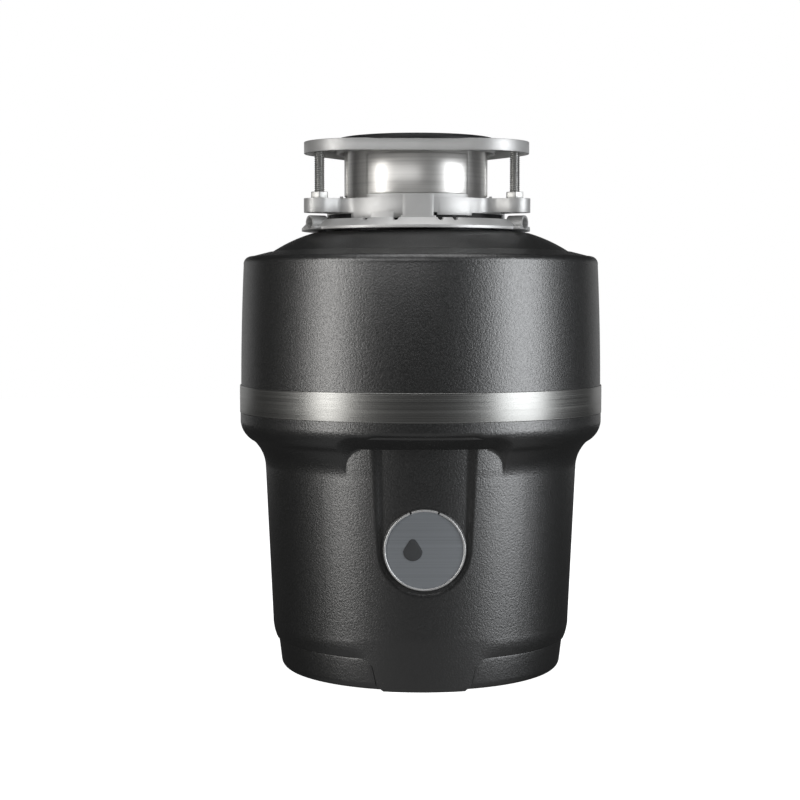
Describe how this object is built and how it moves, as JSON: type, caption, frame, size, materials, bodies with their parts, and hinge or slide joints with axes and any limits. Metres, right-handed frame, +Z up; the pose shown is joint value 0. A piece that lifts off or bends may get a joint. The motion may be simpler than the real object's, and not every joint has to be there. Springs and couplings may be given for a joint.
{
  "type": "kitchen garbage disposal",
  "caption": "Food waste disposer with a tapered dark body, a brushed band, a round badge and a bolted bayonet sink mount.",
  "frame": {"origin": "on the motor axis in the plane of the base, at the centre of the wrench access hole", "axes": "+Z up along the motor axis towards the sink, -Y towards the front with the badge, +X to the right seen from the front"},
  "size_m": [0.2284, 0.2338, 0.3327],
  "materials": {
    "polished_steel": "polished",
    "black_rubber": "matte",
    "mount_alloy": "satin",
    "zinc_steel": "satin",
    "charcoal_shell": "satin",
    "charcoal_cap": "satin",
    "brushed_band": "satin",
    "bright_rim": "polished",
    "brushed_badge": "satin",
    "badge_dot": "satin",
    "grey_foam": "matte",
    "chamber_plastic": "satin",
    "grind_steel": "satin",
    "shaft_steel": "polished",
    "lamination": "satin",
    "cast_alloy": "matte",
    "switch_plastic": "matte",
    "seal_face": "satin",
    "bronze": "satin",
    "copper": "gloss",
    "capacitor_can": "gloss",
    "red_button": "gloss"
  },
  "bodies": {
    "housing": {"backup_flange": "mount_alloy", "badge_face": "brushed_badge", "badge_motif": "badge_dot", "badge_rim": "bright_rim", "bottom_cap": "charcoal_cap", "chamber_clamp": "zinc_steel", "drain_chamber": "cast_alloy", "grind_chamber": "chamber_plastic", "inlet_nipple": "chamber_plastic", "inlet_plug": "chamber_plastic", "lower_bearing": "bronze", "lower_end_frame": "cast_alloy", "lower_trim_shell": "charcoal_shell", "mounting_gasket": "black_rubber", "mounting_ring": "mount_alloy", "mounting_screws": "zinc_steel", "outlet_gasket": "black_rubber", "overload_protector": "switch_plastic", "run_capacitor": "capacitor_can", "screw_locknuts": "zinc_steel", "shaft_seal": "seal_face", "shredder_ring": "grind_steel", "sink_flange": "polished_steel", "sink_gasket": "black_rubber", "snap_ring": "zinc_steel", "sound_insulation": "grey_foam", "start_switch": "switch_plastic", "stator_core": "lamination", "stator_windings": "copper", "terminal_cover": "zinc_steel", "terminal_screw": "zinc_steel", "through_bolts": "zinc_steel", "trim_band": "brushed_band", "upper_bearing": "bronze", "upper_trim_shell": "charcoal_shell"},
    "rotor": {"rotor_shaft": "shaft_steel", "rotor_core": "lamination", "rotor_end_rings": "cast_alloy", "centrifugal_actuator": "switch_plastic", "seal_spring": "shaft_steel", "seal_rotor": "seal_face", "turntable": "grind_steel", "undercutter_disc": "grind_steel", "turntable_nut": "zinc_steel", "lug_rivets": "grind_steel"},
    "lug_a": {"swivel_lug_a": "grind_steel"},
    "lug_b": {"swivel_lug_b": "grind_steel"},
    "lower_ring": {"lower_mounting_ring": "mount_alloy"},
    "baffle": {"splash_baffle": "black_rubber"},
    "reset": {"reset_button": "red_button"}
  },
  "joints": [
    {"name": "rotor_spin", "type": "hinge", "parent": "housing", "child": "rotor", "pos_m": [0, 0, 0.1], "axis": [0, 0, 1], "continuous": true},
    {"name": "lug_a_swing", "type": "hinge", "parent": "rotor", "child": "lug_a", "pos_m": [0.038, 0, 0.17], "axis": [0, 0, 1], "continuous": true},
    {"name": "lug_b_swing", "type": "hinge", "parent": "rotor", "child": "lug_b", "pos_m": [-0.038, 0, 0.17], "axis": [0, 0, 1], "continuous": true},
    {"name": "ring_lock", "type": "hinge", "parent": "housing", "child": "lower_ring", "pos_m": [0, 0, 0.2757], "axis": [0, 0, 1], "range_deg": [0, 35]},
    {"name": "baffle_lift", "type": "slide", "parent": "housing", "child": "baffle", "axis": [0, 0, 1], "range_m": [0, 0.12]},
    {"name": "reset_press", "type": "slide", "parent": "housing", "child": "reset", "axis": [0, 0, 1], "range_m": [0, 0.0025], "stiffness_N_per_m": 400, "springref_m": -0.0005}
  ]
}
